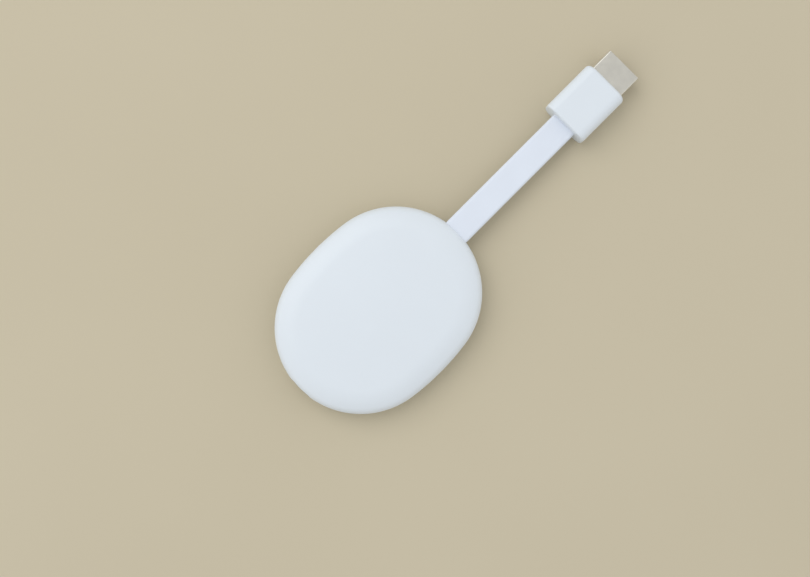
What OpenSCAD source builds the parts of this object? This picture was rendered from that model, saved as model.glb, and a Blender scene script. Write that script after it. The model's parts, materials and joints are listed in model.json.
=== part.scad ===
// Streaming media stick: an oval puck, a short flat cable and a boxed video plug.
// +X runs along the cable towards the plug, +Z is up, and the origin is on the table under the
// middle of the puck.

/* [Puck] */
// Length of the puck, along the cable
body_l = 77.2; // [72:0.2:86]
// Width of the puck
body_w = 61; // [58:0.5:68]
// Thickness of the puck
body_t = 12.5; // [12.3:0.1:14.5]
// Wall of both casings
wall = 1.7; // [1.5:0.1:1.9]
// Radius of the rim, seen from the side
edge_r = 4.4; // [4:0.1:4.8]
// Radius of the upper shoulder, between rim and crown
shoulder_r = 14; // [12:0.5:16]
// Radius of the crowned top
crown_r = 400; // [350:10:500]
// Radius of the lower shoulder, between rim and flat underside
belly_r = 12; // [11:0.5:13]

/* [Casing joint] */
// Thickness of the tongue round the upper casing
lip_t = 0.7; // [0.6:0.05:0.8]
// How far the tongue reaches down into the lower casing
lip_h = 1.6; // [1.4:0.1:1.9]
// How far the snap bead stands out of the tongue
bead_h = 0.2; // [0.1:0.05:0.25]
// Clearance round the tongue
lip_gap = 0.08; // [0.05:0.01:0.12]

/* [Circuit board] */
// Thickness of the main board
board_t = 1; // [0.8:0.1:1.2]
// Distance from the rim of the puck to the edge of the board
board_inset = 3.6; // [3.4:0.1:4.4]
// Height of both shield cans
can_h = 1.9; // [1.7:0.1:2.1]
// Width of the upper shield can
upper_can_w = 28; // [26:1:30]
// Length of the lower shield can
lower_can_l = 28; // [26:1:30]
// Width of the lower shield can
lower_can_w = 24; // [22:1:26]
// Thickness of the upper heat spreader
upper_spreader_t = 0.85; // [0.6:0.05:1]
// Thickness of the lower heat spreader
lower_spreader_t = 0.6; // [0.4:0.05:0.8]

/* [Button and light] */
// Diameter of the reset button
button_d = 4.2; // [3.6:0.1:4.6]
// How far the button lies below the underside
button_recess = 0.3; // [0.2:0.05:0.5]
// Travel of the button
button_travel = 0.3; // [0.2:0.05:0.35]
// Diameter of the light guide
light_d = 1.6; // [1.2:0.1:2]

/* [Power port] */
// Width of the port's metal shell
port_w = 8.94; // [8.8:0.02:9.1]
// Height of the port's metal shell
port_h = 3.26; // [3.2:0.02:3.4]
// Length of the port's metal shell
port_l = 7.35; // [6.9:0.05:7.8]
// Sheet of the port's metal shell
port_sheet = 0.3; // [0.2:0.05:0.35]

/* [Flat cable] */
// Width of the cable
ribbon_w = 9.9; // [9:0.1:10.4]
// Thickness of the cable
ribbon_t = 3; // [2.6:0.1:3.2]
// Free length of the cable between puck and plug
ribbon_free = 52.5; // [52.5:0.1:52.7]

/* [Plug housing] */
// Length of the housing
plug_l = 20.6; // [20:0.1:23]
// Width of the housing
plug_w = 17.6; // [17:0.1:19]
// Thickness of the housing
plug_t = 11; // [10.6:0.1:11.4]
// Wall of the housing
plug_wall = 1.5; // [1.2:0.1:1.7]
// Radius of the housing's long corners
plug_corner_r = 3.5; // [3:0.1:4]
// Fillet round the back of the housing
plug_back_r = 0.7; // [0.4:0.1:1]
// Fillet round the front of the housing
plug_front_r = 1.5; // [1:0.1:2]

/* [Plug shell] */
// Width of the plug's metal shell
shell_w = 13.9; // [13.7:0.05:14.1]
// Height of the plug's metal shell
shell_h = 4.45; // [4.3:0.05:4.6]
// How far the shell stands out of the housing
shell_out = 8.8; // [8.4:0.1:11]
// Sheet of the plug's metal shell
shell_sheet = 0.35; // [0.25:0.05:0.4]

/* [Hidden] */
$fn = 64;
crown_fn = 360;

// Cuts run past a face by this much
over = 1;
// Pieces that stand in a casing reach this far into its wall
root = 0.3;
// Each wider arc of a section lies this much inside, so that the arcs cross cleanly
hair = 0.003;
// Clearance of pieces that stay put
snug = 0.05;
// Clearance of pieces that pass through a wall
pass_gap = 0.1;
// Clearance of pieces that slide
slide_gap = 0.15;

// Levels
mid_z = body_t / 2;
floor_z = wall;
roof_z = body_t - wall;
board_drop = 0.05;
board_top = mid_z - board_drop;
board_bot = board_top - board_t;
upper_can_top = board_top + can_h;
lower_can_bot = board_bot - can_h;

// The puck's section: a rim arc, a shoulder arc and a crown above, a shoulder arc and a flat below
end_r = body_w / 2;
straight = body_l - body_w;
belly_cut = 0.02;
rim_c = [end_r - edge_r, 0];
crown_c = [0, mid_z + 2 * hair - crown_r];
shoulder_c = crossing(crown_c, crown_r - shoulder_r, rim_c, shoulder_r - edge_r);
belly_drop = belly_r - mid_z - belly_cut;
belly_c = [rim_c[0] - sqrt((belly_r - edge_r) ^ 2 - belly_drop ^ 2), -belly_drop];

// The upper heat spreader hangs a gap below the roof over its corners
upper_spreader_l = 46;
upper_spreader_w = 38;
spreader_r = 6;
spreader_gap = 0.2;
spreader_reach = spreader_r + norm([
  upper_spreader_l / 2 - spreader_r - straight / 2, upper_spreader_w / 2 - spreader_r
]);
spreader_roof = mid_z + crown_c[1] + sqrt((crown_r - wall) ^ 2 - spreader_reach ^ 2);
upper_spreader_z = spreader_roof - spreader_gap - upper_spreader_t;

// The tongue and its bead
lip_in = wall - lip_t;
bead_r = 0.4;
bead_share = 0.6;

// Main board
screw_end_gap = 12.6;
screw_side_gap = 15.5;
screw_x = body_l / 2 - screw_end_gap;
screw_y = end_r - screw_side_gap;
screw_r = 0.8;
screw_head_r = 1.7;
screw_head_h = 0.9;
screw_recess_r = 0.8;
screw_recess_h = 0.5;
screw_l = 2.6;
screw_hole_r = 1;
boss_r = 2.2;
boss_depth = 3;
can_sheet = 0.2;
lower_can_x = 0;
chip_gap = 1.6;
processor_w = 14;
processor_h = 1.2;
memory_w = 11;
memory_h = 1;
flash_l = 11.5;
flash_w = 13;
flash_h = 1;
power_w = 6;
power_h = 0.9;
module_w = 11;
module_h = 1.7;
module_step = 0.4;
module_lid_h = 1.2;
module_screw_gap = 0.5;
module_x = screw_x - screw_head_r - module_screw_gap - module_w / 2;
module_y = 13;
inductor_w = 4;
inductor_h = 2;
inductor_pitch = 5.4;
crystal_l = 3.2;
crystal_w = 2.5;
crystal_h = 0.8;
capacitor_l = 1.6;
capacitor_w = 0.8;
capacitor_h = 0.8;
capacitor_count = 9;
capacitor_end_gap = 4.2;
antenna_l = 16;
antenna_h = 2.8;
antenna_w = 2.2;
antenna_t = 0.3;
antenna_foot = 1.6;
antenna_edge_gap = 3;
antenna_y = end_r - board_inset - antenna_edge_gap;

// The upper shield can lies between the power port and the wireless module
port_recess = 0.7;
port_x = -body_l / 2 + port_recess;
port_can_gap = 8.55;
upper_can_low = port_x + port_l + port_can_gap;
upper_can_high = module_x - module_w / 2 - chip_gap / 2;
upper_can_l = upper_can_high - upper_can_low;
upper_can_x = (upper_can_low + upper_can_high) / 2;
processor_x = upper_can_low + chip_gap + processor_w / 2;
memory_l = upper_can_l - processor_w - 3 * chip_gap;
capacitor_pitch = (upper_can_l - 2 * capacitor_end_gap) / (capacitor_count - 1);

// Stakes and ribs over the upper heat spreader, and the pads
pad_margin = 3;
stake_end_gap = 3.5;
stake_side_gap = 6;
stake_x = upper_spreader_l / 2 - stake_end_gap;
stake_y = upper_spreader_w / 2 - stake_side_gap;
stake_r = 1;
stake_head_r = 1.6;
stake_head_h = 0.45;
rib_t = 0.9;

// Power port, in the rim opposite the cable
port_side_flat = 0.2;
port_r = (port_h - port_side_flat) / 2;
port_gap = 0.25;
port_back = 2.2;
tongue_w = 6.7;
tongue_t = 0.7;
tongue_l = 4.4;
port_pitch = 0.5;
port_pins = 12;
port_pin_w = 0.25;
port_pin_t = 0.08;
port_pin_l = 3.6;
ear_l = 1.4;
ear_w = 1.3;
ear_t = 0.3;
notch_gap = 0.15;

// Reset button, tactile switch and status light
button_r = button_d / 2;
button_flange_w = 0.8;
button_boss_gap = 2.4;
button_y = screw_y - boss_r - button_boss_gap - button_flange_w - button_r;
button_edge_gap = 3.5;
button_reach = belly_c[0] - button_edge_gap;
button_x = -straight / 2 - sqrt(button_reach ^ 2 - button_y ^ 2);
button_flange_t = 0.6;
button_stem_r = 1.2;
switch_w = 3.6;
switch_h = 1.5;
switch_lip = 0.35;
cavity_r = 1.35;
plunger_r = 0.8;
plunger_out = 0.6;
plunger_flange_r = 1.15;
plunger_flange_t = 0.2;
dome_r = 1.25;
dome_t = 0.08;
dome_room = 0.2;
cavity_h = snug + plunger_flange_t + button_travel + dome_room;
switch_bot = board_bot - switch_h;
plunger_bot = switch_bot - plunger_out;
flange_z = switch_bot + switch_lip + snug;
cavity_top = switch_bot + switch_lip + cavity_h;
led_l = 1.6;
led_w = 1;
led_h = 0.6;
guide_out = 0.15;
guide_collar_w = 0.7;
guide_collar_t = 0.6;
guide_air = 0.3;

// The lower heat spreader, between the button and the edge of the flat floor
spreader_end_gap = 2.1;
spreader_side_gap = 5.1;
lower_spreader_l = 2 * (-button_x - button_r - button_flange_w - spreader_end_gap);
lower_spreader_w = 2 * (belly_c[0] - spreader_side_gap);

// Cable anchor and the conductors on the main board
anchor_l = 4;
anchor_w = 13;
anchor_h = 5;
anchor_inset = 8.2;
anchor_x = body_l / 2 - anchor_inset;
cradle_in = 0.4;
cradle_t = 1.2;
cradle_rise = 1;
conductor_r = 0.28;
conductor_pitch = 0.84;
conductor_count = 11;
conductor_l = 5.6;
notch_lead = 0.6;

// The flat cable's route, from the anchor to the inner mould of the plug, counted from the rim
route = [
  [-8.2, 0, 0], [-5.4, 0, 0], [-2.6, 0, 0], [0.4, 0, 0], [3.4, 0, 0], [9.4, 0, -0.04],
  [17.4, 0, -0.17], [26.4, 0, -0.37], [35.4, 0, -0.58], [43.4, 0, -0.71], [49.4, 0, -0.75],
  [51.4, 0, -0.75], [53.4, 0, -0.75], [55.7, 0, -0.75], [58, 0, -0.75]
];
// Half outline of the cable's section, as shares of half its width and half its thickness
section_shares = [[1, 0.45], [0.93, 0.9], [0.82, 1], [-0.82, 1], [-0.93, 0.9], [-1, 0.45]];

// Plug
plug_x = body_l / 2 + ribbon_free;
plug_z = plug_t / 2;
ribbon_in_plug = 5.5;
cavity_l = plug_l - 2 * plug_wall;
cavity_w = plug_w - 2 * plug_wall;
cavity_t = plug_t - 2 * plug_wall;
cavity_corner_r = plug_corner_r - plug_wall;
plug_board_x = 6.2;
plug_board_l = 6.6;
plug_board_w = 11;
plug_board_t = 0.8;
plug_conductor_l = 2.8;
shell_x = 12;
shell_l = plug_l + shell_out - shell_x;
shell_side_share = -0.1;
shell_foot_share = 0.74;
shell_corner_r = 0.6;
insulator_in = 1;
slot_l = 10;
slot_w = 11.2;
slot_h = 2;
slit_h = 0.25;
slit_w = 10.4;
contact_pitch = 1;
contact_w = 0.4;
contact_t = 0.15;
contact_x = 9.6;
contact_foot = 2;
contact_rise = 1.2;
contact_tip = 1.2;
upper_contacts = 10;
lower_contacts = 9;
window_l = 2.2;
window_w = 1.8;
window_y = 2.7;
window_x = 4.2;

// Colours
white = [0.93, 0.94, 0.95];
nickel = [0.75, 0.74, 0.7];
board_green = [0.1, 0.35, 0.2];
black = [0.12, 0.12, 0.13];
pad_grey = [0.55, 0.6, 0.65];
copper = [0.8, 0.5, 0.3];
gold = [0.85, 0.7, 0.35];

// Where circles of radius r0 about p0 and r1 about p1 cross, left of the way from p0 to p1
function crossing(p0, r0, p1, r1) =
  let (
    v = p1 - p0,
    d = norm(v),
    a = (r0 ^ 2 - r1 ^ 2 + d ^ 2) / (2 * d),
    h = sqrt(r0 ^ 2 - a ^ 2)
  )
  p0 + a * v / d + h * [-v[1], v[0]] / d;

// Places of n things a pitch apart, centred on zero
function spread(n, pitch) = [for (i = [0 : n - 1]) (i - (n - 1) / 2) * pitch];

// A block of the half plane left of the line from p through q and on past it
module left_of(p, q) {
  u = (q - p) / norm(q - p);
  up = u * (norm(q - p) + body_l);
  left = [-u[1], u[0]] * body_l;
  polygon([p, p + up, p + up + left, p + left]);
}

module disc(c, r) {
  translate(c) circle(r);
}

module both_sides() {
  children();
  mirror([1, 0]) children();
}

// Section of the puck above its middle, moved in by a wall
module upper_section(in) {
  intersection() {
    union() {
      both_sides() {
        disc(rim_c, edge_r - in);
        intersection() {
          disc(shoulder_c, shoulder_r - hair - in);
          left_of(shoulder_c, rim_c);
        }
      }
      intersection() {
        disc(crown_c, crown_r - 2 * hair - in, $fn = crown_fn);
        left_of(crown_c, shoulder_c);
        mirror([1, 0]) left_of(crown_c, shoulder_c);
      }
    }
    translate([-end_r, 0]) square([2 * end_r, mid_z]);
  }
}

// Section of the puck below its middle, upside down and moved in by a wall
module lower_section(in) {
  intersection() {
    union() {
      both_sides() {
        disc(rim_c, edge_r - in);
        intersection() {
          disc(belly_c, belly_r - hair - in);
          left_of(belly_c, rim_c);
        }
      }
      translate([-belly_c[0], 0]) square([2 * belly_c[0], mid_z]);
    }
    translate([-end_r, 0]) square([2 * end_r, mid_z - in]);
  }
}

// Sweeps a section round the puck: turned about each end and run straight between them
module round_the_puck() {
  for (k = [0, 1])
    mirror([k, 0, 0])
      translate([straight / 2, 0, 0])
        rotate([0, 0, -90])
          rotate_extrude(angle = 180)
            intersection() {
              children();
              translate([0, -body_t]) square([end_r + over, 2 * body_t]);
            }
  rotate([90, 0, 90])
    translate([0, 0, -straight / 2])
      linear_extrude(straight) children();
}

// A band of the section between two insets and two levels
module band(in0, in1, z0, z1) {
  both_sides() translate([end_r - in1, z0]) square([in1 - in0, z1 - z0]);
}

// Outline of the puck from above, moved in
module puck_outline(in) {
  square([straight, 2 * (end_r - in)], center = true);
  for (k = [-1, 1]) disc([k * straight / 2, 0], end_r - in);
}

module rounded_rect(l, w, r) {
  square([l - 2 * r, w], center = true);
  square([l, w - 2 * r], center = true);
  for (i = [-1, 1], j = [-1, 1]) disc([i * (l / 2 - r), j * (w / 2 - r)], r);
}

// A bar along X with a rounded section, from x0 to x1 at height z
module bar_x(x0, x1, z, w, h, r) {
  translate([x0, 0, z])
    rotate([90, 0, 90])
      linear_extrude(x1 - x0) rounded_rect(w, h, r);
}

// A block from its lowest corner's x and z, centred across
module block_x(x, z, l, w, h) {
  translate([x, -w / 2, z]) cube([l, w, h]);
}

// A chip centred on a place, standing on level z
module chip(x, y, z, l, w, h) {
  translate([x - l / 2, y - w / 2, z]) cube([l, w, h]);
}

module at_screws() {
  for (i = [-1, 1], j = [-1, 1]) translate([i * screw_x, j * screw_y, 0]) children();
}

module at_stakes() {
  for (i = [-1, 1], j = [-1, 1]) translate([i * stake_x, j * stake_y, 0]) children();
}

// Openings in the rim for the power port and the cable, and the room behind them
module rim_openings() {
  bar_x(-body_l / 2 - over, port_x + port_l, mid_z, port_w + 2 * port_gap, port_h + 2 * port_gap,
    port_r + port_gap);
  bar_x(anchor_x, body_l / 2 + over, mid_z, ribbon_w + 2 * pass_gap, ribbon_t + 2 * pass_gap,
    ribbon_t / 4);
}

// Upper casing

module roof_ribs() {
  rib_z = upper_spreader_z + upper_spreader_t;
  rib_h = roof_z - rib_z + root;
  translate([0, 0, rib_z]) linear_extrude(rib_h) {
    for (y = spread(3, stake_y)) translate([0, y]) square([2 * stake_x, rib_t], center = true);
    for (x = spread(3, stake_x)) translate([x, 0]) square([rib_t, 2 * stake_y], center = true);
  }
}

module stakes() {
  at_stakes() {
    translate([0, 0, upper_spreader_z - stake_head_h])
      cylinder(r = stake_r, h = roof_z + root - upper_spreader_z + stake_head_h);
    translate([0, 0, upper_spreader_z - stake_head_h])
      cylinder(r1 = stake_r, r2 = stake_head_r, h = stake_head_h);
    translate([0, 0, upper_spreader_z + upper_spreader_t])
      cylinder(r = stake_head_r, h = roof_z + root - upper_spreader_z - upper_spreader_t);
  }
}

module upper_cradle() {
  block_x(anchor_x + cradle_in, mid_z + anchor_h / 2, anchor_l - 2 * cradle_in, anchor_w,
    cradle_rise + root);
}

module top_shell() {
  color(white)
    difference() {
      union() {
        translate([0, 0, mid_z])
          difference() {
            round_the_puck() upper_section(0);
            round_the_puck() upper_section(wall);
          }
        translate([0, 0, mid_z])
          round_the_puck() {
            band(lip_in, wall, -lip_h, root);
            both_sides() disc([end_r - lip_in - bead_r + bead_h, -bead_share * lip_h], bead_r);
          }
        roof_ribs();
        stakes();
        upper_cradle();
      }
      rim_openings();
    }
}

// Lower casing

module bosses() {
  at_screws()
    translate([0, 0, floor_z - root])
      cylinder(r = boss_r, h = board_bot - floor_z + root);
}

module pilot_holes() {
  at_screws()
    translate([0, 0, board_bot - boss_depth])
      cylinder(r = screw_r + snug / 2, h = boss_depth + over);
}

module lower_cradle() {
  cheek_w = anchor_w + 2 * (cradle_t + snug);
  block_x(anchor_x + cradle_in, floor_z, anchor_l - 2 * cradle_in, anchor_w,
    mid_z - anchor_h / 2 - floor_z);
  difference() {
    block_x(anchor_x + cradle_in, floor_z, anchor_l - 2 * cradle_in, cheek_w,
      board_bot - floor_z);
    block_x(anchor_x, floor_z - over, anchor_l, anchor_w + 2 * snug,
      board_bot - floor_z + 2 * over);
  }
}

module bottom_shell() {
  color(white)
    difference() {
      union() {
        translate([0, 0, mid_z])
          mirror([0, 0, 1])
            difference() {
              round_the_puck() lower_section(0);
              round_the_puck() lower_section(wall);
            }
        bosses();
        lower_cradle();
      }
      translate([0, 0, mid_z])
        round_the_puck() {
          band(lip_in - lip_gap, wall + lip_t, -lip_h - lip_gap, over);
          both_sides()
            disc([end_r - lip_in - bead_r + bead_h, -bead_share * lip_h], bead_r + lip_gap);
        }
      rim_openings();
      pilot_holes();
      translate([button_x, button_y, -over])
        cylinder(r = button_r + slide_gap, h = floor_z + 2 * over);
      translate([button_x, -button_y, -over])
        cylinder(r = light_d / 2 + snug, h = floor_z + 2 * over);
    }
}

// Heat path

module spreader(z, l, w, t) {
  translate([0, 0, z]) linear_extrude(t) rounded_rect(l, w, spreader_r);
}

module upper_heat_spreader() {
  color(nickel)
    difference() {
      spreader(upper_spreader_z, upper_spreader_l, upper_spreader_w, upper_spreader_t);
      at_stakes()
        translate([0, 0, upper_spreader_z - over])
          cylinder(r = stake_r + snug, h = upper_spreader_t + 2 * over);
    }
}

module lower_heat_spreader() {
  color(nickel) spreader(floor_z, lower_spreader_l, lower_spreader_w, lower_spreader_t);
}

module upper_thermal_pad() {
  color(pad_grey)
    chip(upper_can_x, 0, upper_can_top, upper_can_l - 2 * pad_margin,
      upper_can_w - 2 * pad_margin, upper_spreader_z - upper_can_top);
}

module lower_thermal_pad() {
  pad_z = floor_z + lower_spreader_t;
  color(pad_grey)
    chip(lower_can_x, 0, pad_z, lower_can_l - 2 * pad_margin, lower_can_w - 2 * pad_margin,
      lower_can_bot - pad_z);
}

// Shield cans: folded lids that stand on the board

module can(l, w) {
  difference() {
    translate([-l / 2, -w / 2, 0]) cube([l, w, can_h]);
    translate([-l / 2 + can_sheet, -w / 2 + can_sheet, -over])
      cube([l - 2 * can_sheet, w - 2 * can_sheet, can_h - can_sheet + over]);
  }
}

module upper_shield_can() {
  color(nickel) translate([upper_can_x, 0, board_top]) can(upper_can_l, upper_can_w);
}

module lower_shield_can() {
  color(nickel)
    translate([lower_can_x, 0, board_bot]) mirror([0, 0, 1]) can(lower_can_l, lower_can_w);
}

// Main board and what is on it

module main_board() {
  notch_w = port_w + 2 * notch_gap;
  notch_x = port_x + port_l + notch_gap;
  color(board_green)
    difference() {
      translate([0, 0, board_bot]) linear_extrude(board_t) puck_outline(board_inset);
      block_x(-body_l / 2, board_bot - over, notch_x + body_l / 2, notch_w, board_t + 2 * over);
      block_x(anchor_x - notch_lead, board_bot - over, body_l / 2,
        anchor_w + 2 * (cradle_t + notch_gap), board_t + 2 * over);
      at_screws()
        translate([0, 0, board_bot - over]) cylinder(r = screw_hole_r, h = board_t + 2 * over);
    }
}

module processor() {
  color(black) chip(processor_x, 0, board_top, processor_w, processor_w, processor_h);
}

module processor_pad() {
  color(pad_grey)
    chip(processor_x, 0, board_top + processor_h, processor_w, processor_w,
      can_h - can_sheet - processor_h);
}

module memory_chips() {
  memory_x = upper_can_high - chip_gap - memory_l / 2;
  color(black)
    for (y = spread(2, memory_w + chip_gap))
      chip(memory_x, y, board_top, memory_l, memory_w, memory_h);
}

module flash_chip() {
  flash_x = lower_can_x + lower_can_l / 2 - chip_gap - flash_l / 2;
  color(black) chip(flash_x, 0, board_bot - flash_h, flash_l, flash_w, flash_h);
}

module power_chip() {
  power_x = lower_can_x - lower_can_l / 2 + chip_gap + power_w / 2;
  color(black) chip(power_x, 0, board_bot - power_h, power_w, power_w, power_h);
}

module wireless_module() {
  lid_w = module_w - 2 * module_step;
  color(nickel) {
    chip(module_x, module_y, board_top, module_w, module_w, module_h - module_lid_h);
    chip(module_x, module_y, board_top, lid_w, lid_w, module_h);
  }
}

// Two stamped antennas: a foot on the board, an upright and a roof strip, mirrored
module antennas() {
  color(gold)
    for (k = [0, 1])
      mirror([0, k, 0])
        translate([-antenna_l / 2, antenna_y, board_top]) {
          cube([antenna_foot, antenna_w, antenna_t]);
          translate([antenna_l - antenna_foot, 0, 0]) cube([antenna_foot, antenna_w, antenna_t]);
          cube([antenna_foot, antenna_t, antenna_h]);
          translate([antenna_l - antenna_foot, 0, 0]) cube([antenna_foot, antenna_t, antenna_h]);
          translate([0, 0, antenna_h - antenna_foot]) cube([antenna_l, antenna_t, antenna_foot]);
          translate([0, 0, antenna_h - antenna_t]) cube([antenna_l, antenna_w, antenna_t]);
        }
}

module inductors() {
  base_h = inductor_h / 4;
  color(black)
    for (dx = spread(2, inductor_pitch), dy = spread(2, inductor_pitch))
      translate([module_x + dx, dy - module_y, board_top]) {
        chip(0, 0, 0, inductor_w, inductor_w, base_h);
        cylinder(d = inductor_w, h = inductor_h);
      }
}

module capacitors() {
  row_y = upper_can_w / 2 + chip_gap + capacitor_l / 2;
  color(copper)
    for (dx = spread(capacitor_count, capacitor_pitch), y = [-row_y, row_y])
      chip(upper_can_x + dx, y, board_top, capacitor_w, capacitor_l, capacitor_h);
}

module crystal() {
  color(nickel)
    chip(module_x, 0, board_top, crystal_l, crystal_w, crystal_h);
}

module board_screws() {
  color(nickel)
    at_screws()
      difference() {
        union() {
          translate([0, 0, board_top]) cylinder(r = screw_head_r, h = screw_head_h);
          translate([0, 0, board_bot - screw_l])
            cylinder(r = screw_r, h = board_t + screw_l + screw_head_h / 2);
        }
        translate([0, 0, board_top + screw_head_h - screw_recess_h])
          cylinder(r = screw_recess_r, h = screw_recess_h + over, $fn = 6);
      }
}

// Power port

module port_shell() {
  inner_r = port_r - port_sheet;
  color(nickel) {
    difference() {
      bar_x(port_x, port_x + port_l, mid_z, port_w, port_h, port_r);
      bar_x(port_x - over, port_x + port_l + over, mid_z, port_w - 2 * port_sheet,
        port_h - 2 * port_sheet, inner_r);
    }
    for (k = [0, 1], x = [port_x + port_l - ear_l, port_x + port_l / 2 - ear_l / 2])
      mirror([0, k, 0])
        translate([x, port_w / 2 - port_sheet / 2, board_top])
          cube([ear_l, ear_w + port_sheet / 2, ear_t]);
  }
}

module port_insert() {
  back_x = port_x + port_l - port_back;
  color(black) {
    bar_x(back_x, port_x + port_l, mid_z, port_w - 2 * (port_sheet + snug),
      port_h - 2 * (port_sheet + snug), port_r - port_sheet - snug);
    block_x(back_x - tongue_l, mid_z - tongue_t / 2, tongue_l + root, tongue_w, tongue_t);
  }
}

module port_contacts() {
  pin_x = port_x + port_l - port_back - port_pin_l;
  color(gold)
    for (y = spread(port_pins, port_pitch), z = [tongue_t / 2, -tongue_t / 2 - port_pin_t])
      translate([pin_x, y - port_pin_w / 2, mid_z + z])
        cube([port_pin_l, port_pin_w, port_pin_t]);
}

// Tactile switch, reset button and status light

module switch_body() {
  color(black)
    difference() {
      chip(button_x, button_y, switch_bot, switch_w, switch_w, switch_h);
      translate([button_x, button_y, switch_bot - over])
        cylinder(r = plunger_r + pass_gap, h = switch_lip + 2 * over - snug);
      translate([button_x, button_y, switch_bot + switch_lip])
        cylinder(r = cavity_r, h = cavity_h);
    }
}

module switch_dome() {
  rise = cavity_top - flange_z - plunger_flange_t - snug;
  ball_r = (dome_r ^ 2 + rise ^ 2) / (2 * rise);
  color(nickel)
    translate([button_x, button_y, cavity_top - rise])
      rotate_extrude()
        intersection() {
          difference() {
            disc([0, ball_r], ball_r);
            disc([0, ball_r], ball_r - dome_t);
          }
          square([2 * dome_r, rise]);
        }
}

module switch_plunger() {
  color(black)
    translate([button_x, button_y, 0]) {
      translate([0, 0, plunger_bot]) cylinder(r = plunger_r, h = flange_z - plunger_bot);
      translate([0, 0, flange_z]) cylinder(r = plunger_flange_r, h = plunger_flange_t);
    }
}

module reset_button() {
  flange_bot = floor_z + snug;
  color(white)
    translate([button_x, button_y, 0]) {
      translate([0, 0, button_recess]) cylinder(r = button_r, h = flange_bot - button_recess);
      translate([0, 0, flange_bot])
        cylinder(r = button_r + button_flange_w, h = button_flange_t);
      translate([0, 0, flange_bot])
        cylinder(r = button_stem_r, h = plunger_bot - flange_bot);
    }
}

module status_led() {
  color(white) chip(button_x, -button_y, board_bot - led_h, led_l, led_w, led_h);
}

module light_guide() {
  top_z = board_bot - led_h - guide_air;
  color("lightcyan")
    translate([button_x, -button_y, 0]) {
      translate([0, 0, guide_out]) cylinder(d = light_d, h = top_z - guide_out);
      translate([0, 0, floor_z])
        cylinder(r = light_d / 2 + guide_collar_w, h = guide_collar_t);
    }
}

// Flat cable and its anchor

module cable_anchor() {
  color(white)
    difference() {
      block_x(anchor_x, mid_z - anchor_h / 2, anchor_l, anchor_w, anchor_h);
      bar_x(anchor_x - over, anchor_x + anchor_l + over, mid_z, ribbon_w + 2 * snug,
        ribbon_t + 2 * snug, ribbon_t / 4);
    }
}

module board_conductors() {
  color(copper)
    for (y = spread(conductor_count, conductor_pitch))
      translate([anchor_x - conductor_l, y, board_top + conductor_r + snug / 2])
        rotate([0, 90, 0]) cylinder(r = conductor_r, h = conductor_l);
}

module ribbon_cable() {
  half = [ribbon_w / 2, ribbon_t / 2];
  ring = concat(
    [for (s = section_shares) [s[0] * half[0], s[1] * half[1]]],
    [for (s = section_shares) [-s[0] * half[0], -s[1] * half[1]]]
  );
  sides = len(ring);
  rings = len(route);
  points = [for (p = route, c = ring) p + [0, c[0], c[1]]];
  faces = concat(
    [[for (j = [0 : sides - 1]) j]],
    [for (i = [0 : rings - 2], j = [0 : sides - 1])
      [i * sides + j, (i + 1) * sides + j, (i + 1) * sides + (j + 1) % sides]],
    [for (i = [0 : rings - 2], j = [0 : sides - 1])
      [i * sides + j, (i + 1) * sides + (j + 1) % sides, i * sides + (j + 1) % sides]],
    [[for (j = [sides - 1 : -1 : 0]) (rings - 1) * sides + j]]
  );
  color(white) translate([body_l / 2, 0, mid_z]) polyhedron(points, faces);
}

// Plug

module at_plug() {
  translate([plug_x, 0, plug_z]) children();
}

// Lengthwise outline of the housing from its axis out to reach, with both end fillets
module housing_profile(reach) {
  difference() {
    square([reach, plug_l]);
    translate([reach - plug_back_r, 0]) square(plug_back_r);
    translate([reach - plug_front_r, plug_l - plug_front_r]) square(plug_front_r);
  }
  disc([reach - plug_back_r, plug_back_r], plug_back_r);
  disc([reach - plug_front_r, plug_l - plug_front_r], plug_front_r);
}

// The housing's outside: its profile turned round each long corner and run straight between
module housing_solid() {
  flat_w = plug_w - 2 * plug_corner_r;
  flat_t = plug_t - 2 * plug_corner_r;
  rotate([90, 0, 90]) {
    for (i = [0, 1], j = [0, 1])
      mirror([i, 0, 0])
        mirror([0, j, 0])
          translate([flat_w / 2, flat_t / 2, 0])
            rotate_extrude(angle = 90) housing_profile(plug_corner_r);
    rotate([90, 0, 0])
      translate([0, 0, -flat_t / 2])
        linear_extrude(flat_t) both_sides() housing_profile(plug_w / 2);
    rotate([90, 0, 90])
      translate([0, 0, -flat_w / 2])
        linear_extrude(flat_w) both_sides() housing_profile(plug_t / 2);
  }
}

// Centres of the rounded corners of the plug's shell: square above, with both lower corners cut
function shell_corners() =
  let (
    w = shell_w / 2,
    h = shell_h / 2,
    side_z = shell_side_share * h,
    foot_y = shell_foot_share * w,
    n = [h + side_z, foot_y - w] / norm([h + side_z, foot_y - w]),
    reach = n * [w, side_z] - shell_corner_r,
    w_in = w - shell_corner_r,
    h_in = h - shell_corner_r,
    corner_z = (reach - n[0] * w_in) / n[1],
    corner_y = (reach + n[1] * h_in) / n[0]
  )
  [
    [w_in, h_in], [-w_in, h_in], [-w_in, corner_z], [-corner_y, -h_in], [corner_y, -h_in],
    [w_in, corner_z]
  ];

// Outline of the plug's shell, moved in
module shell_outline(in) {
  corners = shell_corners();
  r = shell_corner_r - in;
  polygon(corners);
  for (i = [0 : len(corners) - 1]) {
    a = corners[i];
    b = corners[(i + 1) % len(corners)];
    out = [b[1] - a[1], a[0] - b[0]] * r / norm(b - a);
    polygon([a, a + out, b + out, b]);
    disc(a, r + hair);
  }
}

// A prism along X with the shell's outline
module shell_prism(x0, x1, in) {
  translate([x0, 0, 0]) rotate([90, 0, 90]) linear_extrude(x1 - x0) shell_outline(in);
}

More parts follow.
